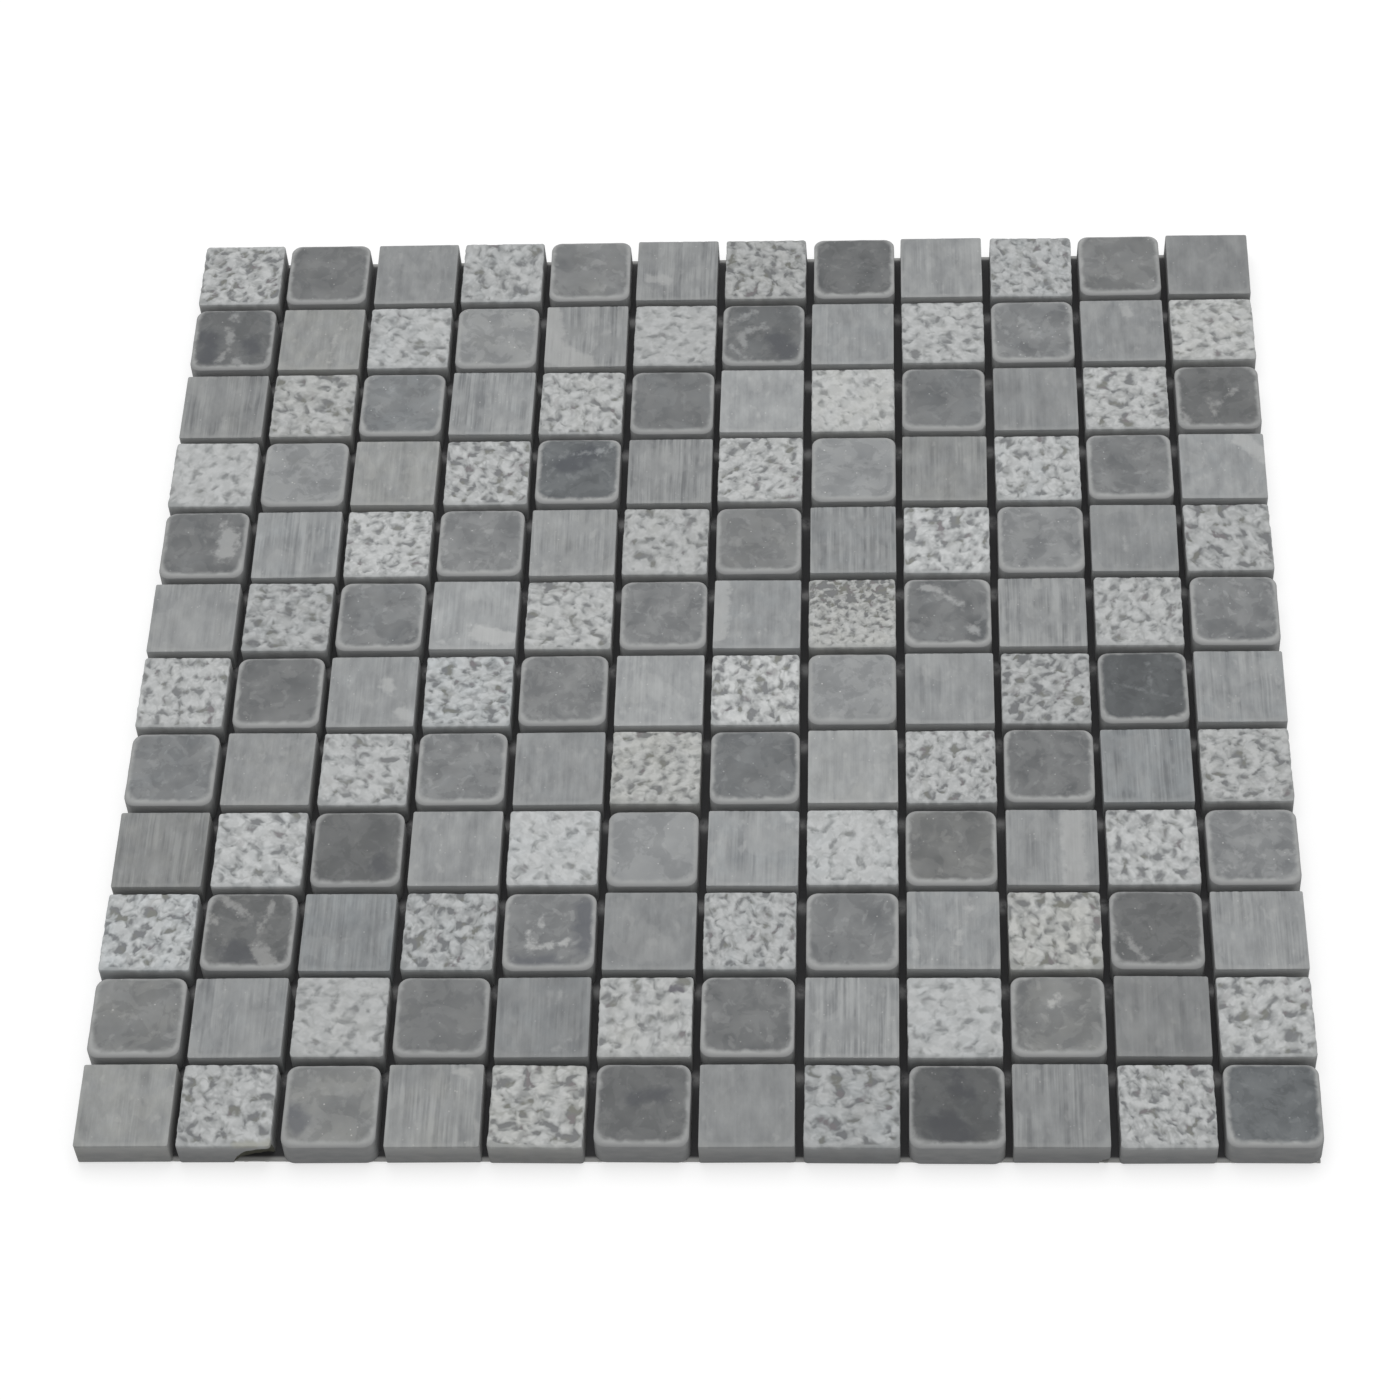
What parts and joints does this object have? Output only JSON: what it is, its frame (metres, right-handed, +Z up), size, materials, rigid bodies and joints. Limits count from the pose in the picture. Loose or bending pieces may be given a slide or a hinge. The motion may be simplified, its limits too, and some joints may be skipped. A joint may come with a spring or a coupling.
{
  "type": "mosaic tile sheet",
  "caption": "Square sheet of small square grey stone chips in bush-hammered, tumbled and brushed finishes, glued to a thread net for laying as one wall or floor tile.",
  "frame": {"origin": "middle of the sheet's outline, at the underside of its net", "axes": "+Z up out of the finished face, +X to the right along the front edge, +Y to the back edge; the brushed chips are brushed along Y"},
  "size_m": [0.2984, 0.2984, 0.008],
  "materials": {
    "bush_hammered_stone": "rough",
    "tumbled_stone": "honed",
    "brushed_stone": "brushed",
    "mesh_threads": "woven",
    "adhesive": "matt"
  },
  "bodies": {
    "root": {"bush_hammered_chips_row_01": "bush_hammered_stone", "tumbled_chips_row_01": "tumbled_stone", "brushed_chips_row_01": "brushed_stone", "bush_hammered_chips_row_02": "bush_hammered_stone", "tumbled_chips_row_02": "tumbled_stone", "brushed_chips_row_02": "brushed_stone", "bush_hammered_chips_row_03": "bush_hammered_stone", "tumbled_chips_row_03": "tumbled_stone", "brushed_chips_row_03": "brushed_stone", "bush_hammered_chips_row_04": "bush_hammered_stone", "tumbled_chips_row_04": "tumbled_stone", "brushed_chips_row_04": "brushed_stone", "bush_hammered_chips_row_05": "bush_hammered_stone", "tumbled_chips_row_05": "tumbled_stone", "brushed_chips_row_05": "brushed_stone", "bush_hammered_chips_row_06": "bush_hammered_stone", "tumbled_chips_row_06": "tumbled_stone", "brushed_chips_row_06": "brushed_stone", "bush_hammered_chips_row_07": "bush_hammered_stone", "tumbled_chips_row_07": "tumbled_stone", "brushed_chips_row_07": "brushed_stone", "bush_hammered_chips_row_08": "bush_hammered_stone", "tumbled_chips_row_08": "tumbled_stone", "brushed_chips_row_08": "brushed_stone", "bush_hammered_chips_row_09": "bush_hammered_stone", "tumbled_chips_row_09": "tumbled_stone", "brushed_chips_row_09": "brushed_stone", "bush_hammered_chips_row_10": "bush_hammered_stone", "tumbled_chips_row_10": "tumbled_stone", "brushed_chips_row_10": "brushed_stone", "bush_hammered_chips_row_11": "bush_hammered_stone", "tumbled_chips_row_11": "tumbled_stone", "brushed_chips_row_11": "brushed_stone", "bush_hammered_chips_row_12": "bush_hammered_stone", "tumbled_chips_row_12": "tumbled_stone", "brushed_chips_row_12": "brushed_stone", "mesh_warp_threads": "mesh_threads", "mesh_weft_threads": "mesh_threads", "adhesive_coat": "adhesive"}
  },
  "joints": []
}
